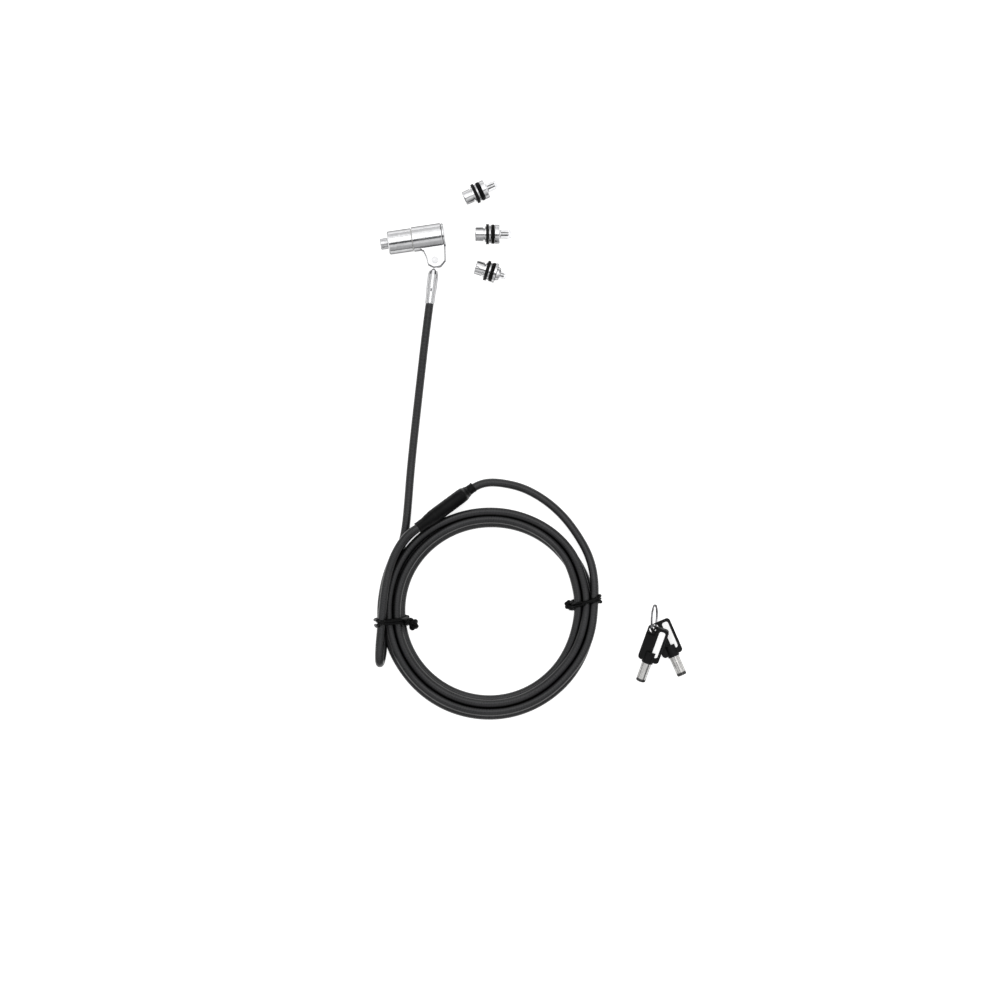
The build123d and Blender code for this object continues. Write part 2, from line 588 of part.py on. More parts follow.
LOWER_HOLE = (81.0, -130.9, KEY_TUBE_R + 0.72)
UPPER_HOLE = (78.9, -131.9, 11.9)
lower_plane = key_plane(LOWER_HOLE, 23.5, 0.0)
upper_plane = key_plane(UPPER_HOLE, -19.0, 14.0)
key("key_lower", lower_plane)
key("key_upper", upper_plane)

chord = Vector(*UPPER_HOLE) - Vector(*LOWER_HOLE)
chord_dir = chord.normalized()
outward = Vector(0.06, 1, 0)
outward = (outward - chord_dir * outward.dot(chord_dir)).normalized()
ring_mid = Vector(*LOWER_HOLE) + chord / 2 + outward * sqrt(RING_R ** 2 - (chord.length / 2) ** 2)
ring_plane = Plane(origin=ring_mid, x_dir=outward, z_dir=outward.cross(chord_dir))
with BuildPart() as key_ring:
    with BuildSketch(Plane(origin=ring_mid + outward * RING_R, x_dir=outward, z_dir=chord_dir)):
        Circle(RING_WIRE_R)
    revolve(axis=Axis(ring_mid, ring_plane.z_dir))
save(key_ring.part, "key_ring")
print("ring chord", chord_dir, "upper normal", upper_plane.z_dir, "hinge", hinge_xyz)
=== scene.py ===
"""Laptop cable lock laid out flat: cable, sleeve, ties, key ring and materials, built round the frame."""
import json
import math

import bmesh
import bpy
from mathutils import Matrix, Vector, noise


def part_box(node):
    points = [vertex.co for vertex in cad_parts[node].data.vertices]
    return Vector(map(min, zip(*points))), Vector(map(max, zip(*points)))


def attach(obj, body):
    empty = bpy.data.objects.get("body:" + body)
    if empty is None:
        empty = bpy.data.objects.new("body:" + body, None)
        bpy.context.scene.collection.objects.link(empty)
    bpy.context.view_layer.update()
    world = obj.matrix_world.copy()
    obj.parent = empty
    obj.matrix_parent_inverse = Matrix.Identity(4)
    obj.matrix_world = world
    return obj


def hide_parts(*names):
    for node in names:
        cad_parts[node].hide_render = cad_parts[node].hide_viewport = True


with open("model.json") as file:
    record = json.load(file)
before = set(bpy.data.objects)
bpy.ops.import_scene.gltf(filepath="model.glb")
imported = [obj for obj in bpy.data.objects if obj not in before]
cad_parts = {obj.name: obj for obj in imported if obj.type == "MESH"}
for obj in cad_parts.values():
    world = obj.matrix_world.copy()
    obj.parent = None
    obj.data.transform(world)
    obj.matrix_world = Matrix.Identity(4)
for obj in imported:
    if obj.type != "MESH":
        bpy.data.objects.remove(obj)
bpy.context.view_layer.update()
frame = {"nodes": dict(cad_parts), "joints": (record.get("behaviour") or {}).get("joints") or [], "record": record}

MM = 0.001
JOINTS = {joint["name"]: joint for joint in frame["joints"]}


def joint_line(name):
    """Point and direction of a hinge, in the row frame, in metres."""
    joint = JOINTS[name]
    return Vector(joint["pos_m"]), Vector(joint["axis"]).normalized()


# ---------------------------------------------------------------- sizes, in millimetres
CABLE_R = 2.75
COIL_C = (-29.1, -120.9)             # centre of the coil
POINTS_PER_TURN = 24
SLEEVE_NECK = Vector((-40.4, -36.8, 3.4))
SLEEVE_END = Vector((-77.9, -64.5, 8.5))
STACK = 2 * CABLE_R + 0.1            # height between the loop's two strands
KEY_SHAFT_LEN = 19.6                 # key tube with the part inside the bow
KEY_DARK_END = 2.2                   # blackened end of the key tube
VIEW_CENTRE = (-22.8, -44.9)         # middle of the picture
VIEW_WIDTH = 670.0
CAMERA_HEIGHT = 2200.0
SENSOR = 36.0

# ---------------------------------------------------------------- looks
LAY_WAVES = 1.0                      # the wire rope's lay under the cable's jacket
LAY_STRETCH = 900.0
# painted light: strength of the glow that lifts the white label, which is no lamp
LABEL_PAINTED_GLOW = 0.35
FLOOR_GLOW = 0.78
EDGE_TINT = 0.35                     # how much a metal reflects at a grazing angle
METAL_FLANK_SHADE = 0.42                         # painted shade: share of its colour that a metal keeps on steep faces


# ---------------------------------------------------------------- shader helpers
def new_material(name, colour, roughness, metallic=0.0):
    mat = bpy.data.materials.new(name)
    mat.use_nodes = True
    tree = mat.node_tree
    shader = tree.nodes["Principled BSDF"]
    shader.inputs["Base Color"].default_value = (*colour, 1)
    shader.inputs["Roughness"].default_value = roughness
    shader.inputs["Metallic"].default_value = metallic
    mat.diffuse_color = (*colour, 1)
    return mat, tree, shader


def add_node(tree, kind, settings=None, **inputs):
    """A node of this kind; an input is a value or another node's output."""
    made = tree.nodes.new("ShaderNode" + kind)
    for key, value in (settings or {}).items():
        setattr(made, key, value)
    for key, value in inputs.items():
        socket = made.inputs[int(key[1:])] if key[0] == "i" and key[1:].isdigit() else made.inputs[key]
        if isinstance(value, bpy.types.NodeSocket):
            tree.links.new(value, socket)
        else:
            socket.default_value = value
    return made


def object_coords(tree):
    return add_node(tree, "TexCoord").outputs["Object"]


def noise_value(tree, coords, per_m, detail=4.0, rough=0.55, distort=0.0):
    made = add_node(tree, "TexNoise", Vector=coords, Scale=per_m, Detail=detail, Roughness=rough,
                    Distortion=distort)
    return made.outputs["Fac"]


def remap(tree, value, low, high, out_low, out_high):
    made = add_node(tree, "MapRange", i0=value, i1=low, i2=high, i3=out_low, i4=out_high)
    return made.outputs[0]


def colour_mix(tree, factor, first, second):
    made = add_node(tree, "Mix", {"data_type": "RGBA"}, i0=factor)
    for index, colour in ((6, first), (7, second)):
        if isinstance(colour, bpy.types.NodeSocket):
            tree.links.new(colour, made.inputs[index])
        else:
            made.inputs[index].default_value = (*colour, 1)
    return made.outputs[2]


def maths(tree, operation, a, b=0.0):
    return add_node(tree, "Math", {"operation": operation}, i0=a, i1=b).outputs[0]


def bump(tree, height, distance, strength=1.0, under=None):
    made = add_node(tree, "Bump", Height=height, Distance=distance, Strength=strength)
    if under is not None:
        tree.links.new(under, made.inputs["Normal"])
    return made.outputs["Normal"]


def axial(tree, coords, line):
    """Distance along a line, for rings left by a lathe."""
    origin, direction = line
    moved = add_node(tree, "VectorMath", {"operation": "SUBTRACT"}, i0=coords, i1=tuple(origin))
    along = add_node(tree, "VectorMath", {"operation": "DOT_PRODUCT"}, i0=moved.outputs[0],
                     i1=tuple(direction))
    return along.outputs["Value"]


def painted_flank_shade(tree, low, steep=0.30, level=0.86):
    """Painted shade: a factor that is 1 on upward faces and falls to low on steep and downward ones, darkening
    them as if turned from the light.
    """
    normal = add_node(tree, "TexCoord").outputs["Normal"]
    up = add_node(tree, "SeparateXYZ", Vector=normal).outputs["Z"]
    return remap(tree, up, steep, level, low, 1.0)


def shaded(tree, colour, factor):
    """The colour dimmed by the factor, for painted shade."""
    made = add_node(tree, "Mix", {"data_type": "RGBA", "blend_type": "MULTIPLY"}, i0=1.0)
    tree.links.new(colour, made.inputs[6])
    grey = add_node(tree, "CombineColor", Red=factor, Green=factor, Blue=factor)
    tree.links.new(grey.outputs[0], made.inputs[7])
    return made.outputs[2]


# ---------------------------------------------------------------- materials
def plated_metal(name, colour, rough_low, rough_high):
    """Plated die-cast metal: faint orange peel, finger haze and hairline scratches, with painted shade darkening
    steep and downward faces.
    """
    mat, tree, shader = new_material(name, colour, rough_low, 1.0)
    shader.inputs["Specular Tint"].default_value = (EDGE_TINT, EDGE_TINT, EDGE_TINT, 1)
    coords = object_coords(tree)
    haze = noise_value(tree, coords, 260, 5, 0.6, 0.4)
    grain = noise_value(tree, coords, 2600, 3)
    stretch = add_node(tree, "Mapping", Vector=coords, Scale=(1.0, 14.0, 3.0), Rotation=(0.3, 0.2, 0.75))
    scratch = noise_value(tree, stretch.outputs[0], 700, 2, 0.7)
    scratch = remap(tree, scratch, 0.66, 0.72, 0.0, 1.0)
    tint = remap(tree, haze, 0.35, 0.75, 0.0, 1.0)
    darker = tuple(c * 0.86 for c in colour)
    # painted shade: the colour is dimmed on steep and downward faces
    base = shaded(tree, colour_mix(tree, tint, colour, darker), painted_flank_shade(tree, METAL_FLANK_SHADE))
    tree.links.new(base, shader.inputs["Base Color"])
    rough = remap(tree, haze, 0.3, 0.7, rough_low, rough_high)
    rough = maths(tree, "ADD", rough, maths(tree, "MULTIPLY", scratch, 0.12))
    tree.links.new(rough, shader.inputs["Roughness"])
    fine = bump(tree, grain, 0.000012)
    tree.links.new(bump(tree, scratch, 0.000006, 0.6, fine), shader.inputs["Normal"])
    return mat


def turned_metal(name, colour, roughness, line, per_m=5200, ring_depth=0.000003, dark_from=None):
    """Turned metal: fine rings along the axis it was turned on, with painted shade darkening steep and downward
    faces.
    """
    mat, tree, shader = new_material(name, colour, roughness, 1.0)
    shader.inputs["Specular Tint"].default_value = (EDGE_TINT, EDGE_TINT, EDGE_TINT, 1)
    coords = object_coords(tree)
    along = axial(tree, coords, line)
    ring_coords = add_node(tree, "CombineXYZ", X=along)
    rings = noise_value(tree, ring_coords.outputs[0], per_m, 3, 0.7)
    stain = noise_value(tree, coords, 420, 4, 0.6)
    darker = tuple(c * 0.72 for c in colour)
    base = colour_mix(tree, remap(tree, stain, 0.4, 0.8, 0.0, 1.0), colour, darker)
    if dark_from is not None:
        end = remap(tree, along, dark_from, dark_from + 0.0005, 0.0, 0.9)
        base = colour_mix(tree, end, base, (0.02, 0.02, 0.02))
    # painted shade: the colour is dimmed on steep and downward faces
    tree.links.new(shaded(tree, base, painted_flank_shade(tree, METAL_FLANK_SHADE)), shader.inputs["Base Color"])
    gloss = remap(tree, rings, 0.3, 0.7, roughness * 0.7, roughness * 1.5)
    tree.links.new(gloss, shader.inputs["Roughness"])
    tree.links.new(bump(tree, rings, ring_depth), shader.inputs["Normal"])
    return mat


def moulded_plastic(name, colour, roughness, grain_per_m=1500, grain_depth=0.00004, shine=0.3):
    """Moulded plastic or rubber: spark-eroded grain, dust and slightly polished high spots."""
    mat, tree, shader = new_material(name, colour, roughness)
    coords = object_coords(tree)
    grain = noise_value(tree, coords, grain_per_m, 4, 0.6)
    cloud = noise_value(tree, coords, 120, 3)
    dust = remap(tree, noise_value(tree, coords, 3200, 2), 0.62, 0.8, 0.0, 0.35)
    lighter = tuple(min(0.92, c * 1.8 + 0.004) for c in colour)
    base = colour_mix(tree, remap(tree, cloud, 0.35, 0.7, 0.0, 0.5), colour, lighter)
    dusty = tuple(min(0.95, c * 1.5 + 0.02) for c in lighter)
    tree.links.new(colour_mix(tree, dust, base, dusty), shader.inputs["Base Color"])
    tree.links.new(remap(tree, grain, 0.3, 0.7, roughness * 0.8, min(1.0, roughness * 1.25)),
                   shader.inputs["Roughness"])
    tree.links.new(bump(tree, grain, grain_depth), shader.inputs["Normal"])
    shader.inputs["Specular IOR Level"].default_value = shine
    return mat


def label_plastic():
    """Bright white label, lifted a little by painted light: a glow of its own, though it is no lamp."""
    mat = moulded_plastic("label_plastic", (0.88, 0.88, 0.87), 0.40, 1900, 0.00002)
    shader = mat.node_tree.nodes["Principled BSDF"]
    # painted light: emission makes the label glow a little
    shader.inputs["Emission Color"].default_value = (1, 1, 1, 1)
    shader.inputs["Emission Strength"].default_value = LABEL_PAINTED_GLOW
    return mat


def cable_jacket():
    """Smoky vinyl over wire rope: the rope's lay shows faintly through, under scuffs; painted shade keeps the top
    lighter and darkens the flanks almost to black.
    """
    mat, tree, shader = new_material("cable_jacket", (0.016, 0.016, 0.017), 0.34)
    coords = object_coords(tree)
    length_coords = add_node(tree, "TexCoord").outputs["UV"]
    stretched = add_node(tree, "Mapping", Vector=length_coords, Scale=(LAY_STRETCH, 1.0, 1.0))
    lay = add_node(tree, "TexWave", {"bands_direction": "DIAGONAL"}, Scale=LAY_WAVES, Distortion=0.4,
                   Vector=stretched.outputs[0])
    scuff = noise_value(tree, coords, 900, 5, 0.65, 0.6)
    cloud = noise_value(tree, coords, 45, 3)
    base = colour_mix(tree, remap(tree, cloud, 0.35, 0.7, 0.0, 1.0), (0.016, 0.016, 0.0175),
                      (0.029, 0.029, 0.031))
    base = colour_mix(tree, remap(tree, lay.outputs["Fac"], 0.2, 0.9, 0.0, 0.25), base, (0.05, 0.05, 0.053))
    base = colour_mix(tree, remap(tree, scuff, 0.64, 0.74, 0.0, 0.3), base, (0.09, 0.09, 0.09))
    # painted shade: the colour falls almost to black on the flanks and underside, so only the top reads lighter
    tree.links.new(shaded(tree, base, painted_flank_shade(tree, 0.03, 0.50, 0.98)), shader.inputs["Base Color"])
    tree.links.new(remap(tree, scuff, 0.3, 0.75, 0.24, 0.38), shader.inputs["Roughness"])
    ripple = bump(tree, lay.outputs["Fac"], 0.00003)
    grain = noise_value(tree, coords, 2500, 3)
    tree.links.new(bump(tree, grain, 0.00001, 1.0, ripple), shader.inputs["Normal"])
    shader.inputs["Specular IOR Level"].default_value = 0.42
    return mat


def floor_material():
    mat, tree, shader = new_material("floor", (0.86, 0.86, 0.86), 0.75)
    coords = object_coords(tree)
    paper = noise_value(tree, coords, 900, 3)
    tone = colour_mix(tree, paper, (0.84, 0.84, 0.84), (0.88, 0.88, 0.88))
    tree.links.new(tone, shader.inputs["Base Color"])
    tree.links.new(bump(tree, paper, 0.00002), shader.inputs["Normal"])
    shader.inputs["Emission Color"].default_value = (1, 1, 1, 1)
    shader.inputs["Emission Strength"].default_value = FLOOR_GLOW
    return mat


BARREL = joint_line("barrel_swivel")
TIP_NAMES = ("tip_standard", "tip_mini", "tip_wedge")
KEY_AXES = {"key_lower": (Vector((0.0, 0.0, 0.0)), Vector((math.sin(math.radians(23.5)),
                                                          -math.cos(math.radians(23.5)), 0.0))),
            "key_upper": (Vector((0.0, 0.0, 0.0)), Vector((-0.316, -0.917, -0.242)).normalized())}
ZINC = (0.80, 0.80, 0.81)
STEEL = (0.70, 0.70, 0.71)
NICKEL = (0.82, 0.81, 0.79)
materials = {
    "satin_zinc": plated_metal("satin_zinc", ZINC, 0.10, 0.22),
    "bright_steel": turned_metal("bright_steel", STEEL, 0.22, BARREL),
    "brass": turned_metal("brass", (0.75, 0.56, 0.26), 0.26, BARREL),
    "spring_steel": plated_metal("spring_steel", (0.55, 0.55, 0.57), 0.25, 0.40),
    "cable_jacket": cable_jacket(),
    "heat_shrink": moulded_plastic("heat_shrink", (0.0012, 0.0012, 0.0014), 0.42, 900, 0.00006, 0.14),
    "tie_plastic": moulded_plastic("tie_plastic", (0.0015, 0.0015, 0.0017), 0.40, 1400, 0.00003, 0.12),
    "black_rubber": moulded_plastic("black_rubber", (0.003, 0.003, 0.003), 0.60, 2200, 0.00004, 0.1),
    "bow_plastic": moulded_plastic("bow_plastic", (0.003, 0.003, 0.0033), 0.42, 2600, 0.00005, 0.2),
    "label_plastic": label_plastic(),
    "key_nickel": plated_metal("key_nickel", NICKEL, 0.12, 0.24),
    "nylon": moulded_plastic("nylon", (0.66, 0.65, 0.60), 0.45, 1800, 0.00002),
    "aluminium": plated_metal("aluminium", (0.68, 0.68, 0.68), 0.30, 0.45),
}
node_materials = {}
for tip_name in TIP_NAMES:
    tip_steel = turned_metal(f"{tip_name}_steel", STEEL, 0.20, joint_line(f"{tip_name}_turn"))
    tip_zinc = turned_metal(f"{tip_name}_zinc", ZINC, 0.15, joint_line(f"{tip_name}_turn"), 3400)
    for part_name in ("prongs", "turn_head", "backing_washer"):
        node_materials[f"{tip_name}_{part_name}"] = tip_steel
    for part_name in ("socket", "face_plate"):
        node_materials[f"{tip_name}_{part_name}"] = tip_zinc
for key_name, key_line in KEY_AXES.items():
    low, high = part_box(f"{key_name}_tube")
    reach = key_line[1].dot((low + high) / 2) + KEY_SHAFT_LEN * MM / 2
    node_materials[f"{key_name}_tube"] = turned_metal(f"{key_name}_nickel", NICKEL, 0.24, key_line, 700,
                                                      0.0000003, reach - KEY_DARK_END * MM)
node_materials["front_housing"] = turned_metal("housing_zinc", ZINC, 0.13, BARREL, 2600)

for entry in frame["record"]["subparts"]:
    cad_object = frame["nodes"][entry["node"]]
    cad_object.data.materials.clear()
    cad_object.data.materials.append(node_materials.get(entry["node"], materials[entry["material_slot"]]))


# ---------------------------------------------------------------- mesh helpers
def mesh_piece(name, vertices, faces, material, smooth=True):
    data = bpy.data.meshes.new(name)
    data.from_pydata([tuple(Vector(v) * MM) for v in vertices], [], faces)
    data.materials.append(material)
    bm = bmesh.new()
    bm.from_mesh(data)
    bmesh.ops.recalc_face_normals(bm, faces=bm.faces)
    bm.to_mesh(data)
    bm.free()
    for face in data.polygons:
        face.use_smooth = smooth
    made = bpy.data.objects.new(name, data)
    bpy.context.scene.collection.objects.link(made)
    return made


def lofted(name, rings, material):
    """A closed skin through rings of equal point count, with flat ends."""
    count = len(rings[0])
    vertices = [point for ring in rings for point in ring]
    faces = []
    for r in range(len(rings) - 1):
        for i in range(count):
            j = (i + 1) % count
            faces.append((r * count + i, r * count + j, (r + 1) * count + j, (r + 1) * count + i))
    faces.append(tuple(range(count)))
    faces.append(tuple((len(rings) - 1) * count + i for i in range(count)))
    return mesh_piece(name, vertices, faces, material)


def smooth_line(points, steps=6):
    """Points along a Catmull-Rom curve through the given points."""
    points = [Vector(p) for p in points]
    ends = [2 * points[0] - points[1], *points, 2 * points[-1] - points[-2]]
    line = []
    for a, b, c, d in zip(ends, ends[1:], ends[2:], ends[3:]):
        for step in range(steps):
            t = step / steps
            line.append(0.5 * (2 * b + (c - a) * t + (2 * a - 5 * b + 4 * c - d) * t * t
                               + (3 * b - a - 3 * c + d) * t ** 3))
    return [*line, points[-1]]


def wire_rings(line, half_wide, half_thick, wide_dir, sides=16):
    """Oval rings round a line; the wide side starts along wide_dir and is carried along the line."""
    side = Vector(wide_dir).normalized()
    rings = []
    for index, point in enumerate(line):
        ahead = line[min(index + 1, len(line) - 1)] - line[max(index - 1, 0)]
        ahead.normalize()
        side = (side - ahead * side.dot(ahead)).normalized()
        other = ahead.cross(side)
        ring = []
        for k in range(sides):
            a = 2 * math.pi * k / sides
            ring.append(point + side * (half_wide * math.cos(a)) + other * (half_thick * math.sin(a)))
        rings.append(ring)
    return rings


# ---------------------------------------------------------------- the cable, one spline from end to end
LEAD = [(-69.76, 85.51, 8.3), (-72.2, 67.0, 8.0), (-74.9, 44.0, 6.6), (-77.9, 18.0, 4.4),
        (-80.6, -6.0, 2.95), (-82.8, -28.0, 2.75), (-84.3, -48.0, 2.8), (-86.0, -66.0, 2.75),
        (-90.0, -81.5, 2.75), (-95.0, -96.0, 2.75)]
TAIL = [(40.4, -113.0, 8.2), (40.3, -97.0, 7.4), (36.9, -83.0, 5.0), (30.2, -70.5, 3.1), (20.6, -57.2, 2.8),
        (8.2, -45.9, 2.75), (-6.4, -37.6, 2.9), (-20.4, -34.2, 2.75), (-31.6, -33.6, 3.0)]
LOOP = [(-84.5, -70.0, 8.5), (-90.4, -78.0, 8.4), (-96.2, -89.0, 8.3), (-100.2, -102.0, 8.1),
        (-102.4, -118.0, 8.0), (-101.6, -133.0, 6.0), (-100.8, -145.0, 3.1), (-102.5, -154.6, 2.75),
        (-103.3, -154.6, 13.2), (-103.3, -145.0, 12.9), (-102.2, -133.0, 12.9), (-100.9, -118.0, 13.4),
        (-99.0, -101.5, 13.5), (-95.6, -88.0, 13.7), (-90.6, -77.0, 13.9), (-83.8, -68.0, 14.1)]
# the coil winds in along the floor, climbs at its inner side and winds out on top:
# (angle in degrees from +X, radius, height)
COIL_WINDING = [
    (160, 70.7, 2.75), (185, 70.5, 2.75), (225, 69.6, 2.75), (270, 69.0, 2.75), (315, 68.6, 2.75),
    (360, 67.6, 2.75), (405, 66.2, 2.75), (450, 65.8, 2.75), (510, 65.5, 2.75),
    (545, 65.0, 2.75), (630, 63.5, 2.75), (675, 63.1, 2.75), (720, 62.1, 2.75), (765, 60.6, 2.75),
    (810, 60.2, 2.75), (870, 60.0, 2.75),
    (905, 59.4, 2.75), (990, 58.0, 2.75), (1035, 57.8, 2.9), (1065, 57.4, 4.6), (1095, 58.9, 7.6),
    (1125, 62.2, 7.8), (1170, 63.0, 7.5), (1230, 62.8, 7.5),
    (1265, 62.2, 7.5), (1350, 60.8, 7.5), (1395, 60.6, 7.6), (1425, 62.3, 8.2), (1455, 64.6, 7.6),
    (1485, 67.6, 8.0), (1545, 68.2, 7.7), (1578, 69.0, 7.6), (1592, 68.7, 7.6), (1625, 67.7, 7.6),
    (1710, 66.3, 7.5), (1755, 66.1, 7.6), (1785, 67.8, 8.3), (1800, 68.9, 8.3)]


def winding_at(angle):
    """Radius and height of the winding at a running angle, eased between its stations."""
    for (a0, r0, z0), (a1, r1, z1) in zip(COIL_WINDING, COIL_WINDING[1:]):
        if a0 <= angle <= a1:
            t = (angle - a0) / (a1 - a0)
            t = t * t * (3 - 2 * t)
            return r0 + (r1 - r0) * t, z0 + (z1 - z0) * t
    return COIL_WINDING[-1][1:]


def coil_points():
    """Control points of the coil's turns, set out so that the smooth line runs at the wound radius."""
    step = 360 / POINTS_PER_TURN
    outset = 1 / math.cos(math.radians(step / 2))
    points = []
    angle = COIL_WINDING[0][0] + step * 0.7
    while angle < COIL_WINDING[-1][0] + 1:
        radius, height = winding_at(angle)
        slack = 0.35 * math.sin(math.radians(2 * angle + 50)) + 0.25 * math.sin(math.radians(3 * angle))
        a = math.radians(angle)
        radius = (radius + slack) * outset
        points.append((COIL_C[0] + radius * math.cos(a), COIL_C[1] + radius * math.sin(a), height))
        angle += step
    return points


sleeve_dir = (SLEEVE_END - SLEEVE_NECK).normalized()
sleeve_side = Vector((0, 0, 1)).cross(sleeve_dir).normalized()
sleeve_up = sleeve_dir.cross(sleeve_side).normalized()
sleeve_len = (SLEEVE_END - SLEEVE_NECK).length
upper_exit = SLEEVE_END + sleeve_up * STACK
HELD_LEN = 30.0                      # how far the loop's end goes back into the sleeve
route = [*LEAD, *coil_points(), *TAIL, SLEEVE_NECK, SLEEVE_NECK + sleeve_dir * sleeve_len * 0.4,
         SLEEVE_NECK + sleeve_dir * sleeve_len * 0.8, SLEEVE_END, *LOOP, upper_exit,
         upper_exit - sleeve_dir * HELD_LEN * 0.5, upper_exit - sleeve_dir * HELD_LEN]


def cable_curve(points):
    data = bpy.data.curves.new("security_cable", "CURVE")
    data.dimensions = "3D"
    data.bevel_depth = CABLE_R * MM
    data.bevel_resolution = 7
    data.resolution_u = 8
    data.use_fill_caps = True
    spline = data.splines.new("NURBS")
    spline.points.add(len(points) - 1)
    for point, place in zip(spline.points, points):
        point.co = (*(Vector(place) * MM), 1)
    spline.order_u = 3
    spline.use_endpoint_u = True
    data.materials.append(materials["cable_jacket"])
    made = bpy.data.objects.new("security_cable", data)
    bpy.context.scene.collection.objects.link(made)
    return made


cable = cable_curve(route)
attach(cable, "cable")
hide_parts("cable_lead", "cable_coil", "cable_tail", "cable_loop")


# ---------------------------------------------------------------- heat-shrink sleeve over the crimped joint
def sleeve_station(s):
    """Half width, half height and lift of the sleeve's section at s mm from its neck."""
    keys = [(0.0, 3.25, 3.2, 0.0), (4.0, 3.35, 3.3, 0.1), (6.2, 3.9, 4.4, 0.9), (9.0, 4.9, 6.0, 2.5),
            (12.0, 5.05, 6.25, 2.8), (34.0, 5.05, 6.25, 2.8), (37.5, 4.7, 6.05, 2.8),
            (41.0, 4.1, 5.9, 2.8), (sleeve_len, 3.9, 5.8, 2.8)]
    for first, second in zip(keys, keys[1:]):
        if s <= second[0]:
            t = (s - first[0]) / (second[0] - first[0])
            t = t * t * (3 - 2 * t)
            return [a + (b - a) * t for a, b in zip(first[1:], second[1:])]
    return keys[-1][1:]


def sleeve_piece():
    rings = []
    steps, sides = 110, 56
    for index in range(steps + 1):
        s = sleeve_len * index / steps
        half_w, half_h, lift = sleeve_station(s)
        pinch = 0.10 if s > 36 else 0.05
        lip = 0.25 * math.exp(-((s - 0.4) / 0.5) ** 2)
        lip += 0.2 * math.exp(-((s - sleeve_len + 0.4) / 0.5) ** 2)
        ring = []
        for k in range(sides):
            a = 2 * math.pi * k / sides
            waist = 1 - pinch * math.exp(-(math.sin(a) / 0.22) ** 2) * (1 if s > 8 else 0)
            x, y = (half_w + lip) * math.cos(a) * waist, (half_h + lip) * math.sin(a)
            place = SLEEVE_NECK + sleeve_dir * s + sleeve_side * x + sleeve_up * (y + lift)
            wrinkle = 0.09 * noise.noise(place * 0.55) + 0.05 * noise.noise(place * 1.7)
            place += (sleeve_side * math.cos(a) + sleeve_up * math.sin(a)) * wrinkle
            ring.append(place)
        rings.append(ring)
    return lofted("heat_shrink_sleeve", rings, materials["heat_shrink"])


sleeve = sleeve_piece()
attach(sleeve, "cable")
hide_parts("loop_sleeve")

# ---------------------------------------------------------------- twist ties
TIE_HALF_WIDE = 1.55
TIE_HALF_THICK = 1.0


def bundle_outline(strands, reach, floor_height):
    """Line round a bundle of strands, in radius and height, as a tight wire would lie."""
    line = []
    for step in range(40):
        a = math.radians(180 + step * 9)
        out_r, out_z = math.cos(a), math.sin(a)
        best = max(strands, key=lambda s: s[0] * out_r + s[1] * out_z)
        line.append((best[0] + reach * out_r, max(floor_height, best[1] + reach * out_z)))
    return line


def joined(name, ring_lists, material):
    """One piece from several closed skins."""
    vertices, faces = [], []
    for rings in ring_lists:
        first, count = len(vertices), len(rings[0])
        vertices += [point for ring in rings for point in ring]
        for r in range(len(rings) - 1):
            for i in range(count):
                a, b = first + r * count, (i + 1) % count
                faces.append((a + i, a + b, a + count + b, a + count + i))
        faces.append(tuple(range(first, first + count)))
        faces.append(tuple(first + (len(rings) - 1) * count + i for i in range(count)))
    return mesh_piece(name, vertices, faces, material)


def twisted_pair(line, radius, turns):
    """Two wires wound round each other along a line."""
    side = Vector((0, 0, 1))
    pairs = ([], [])
    for index, point in enumerate(line):
        ahead = (line[min(index + 1, len(line) - 1)] - line[max(index - 1, 0)]).normalized()
        across = ahead.cross(side).normalized()
        up = across.cross(ahead)
        for wire, phase in zip(pairs, (0, math.pi)):
            a = phase + 2 * math.pi * turns * index / (len(line) - 1)
            wire.append(point + (across * math.cos(a) + up * math.sin(a)) * radius * 0.72)
    return [wire_rings(wire, radius, radius * 0.9, side, 12) for wire in pairs]


def twist_tie(name, node_name, angle, strands, ends, slant=0.0):
    """Two crossing turns of coated wire; the twisted ends are given as (radius, along, height)."""
    a = math.radians(angle)
    radial = Vector((math.cos(a), math.sin(a), 0))
    along = Vector((-math.sin(a), math.cos(a), 0))
    centre = Vector((COIL_C[0], COIL_C[1], 0))

    def place(radius, shift, height):
        return centre + radial * radius + along * shift + Vector((0, 0, height))

    outline = bundle_outline(strands, CABLE_R + TIE_HALF_THICK - 0.15, TIE_HALF_THICK + 0.1)
    wraps = []
    for index in range(2 * len(outline) + 1):
        radius, height = outline[index % len(outline)]
        progress = index / (2 * len(outline))
        shift = 2.7 * math.cos(2 * math.pi * (progress - 0.125)) + slant * (radius - strands[0][0])
        wobble = 0.25 * math.sin(index * 0.9) + 0.15 * math.sin(index * 2.3)
        lift = 0.5 * math.sin(math.pi * progress) if height > 4 else 0.0
        wraps.append(place(radius, shift + wobble, height + lift))
    skins = [wire_rings(smooth_line(wraps, 2), TIE_HALF_WIDE, TIE_HALF_THICK, along)]
    for points, radius, turns in ends:
        line = smooth_line([place(*point) for point in points], 5)
        skins += twisted_pair(line, radius, turns)
    piece = joined(name, skins, materials["tie_plastic"])
    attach(piece, "cable")
    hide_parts(node_name)
    return piece


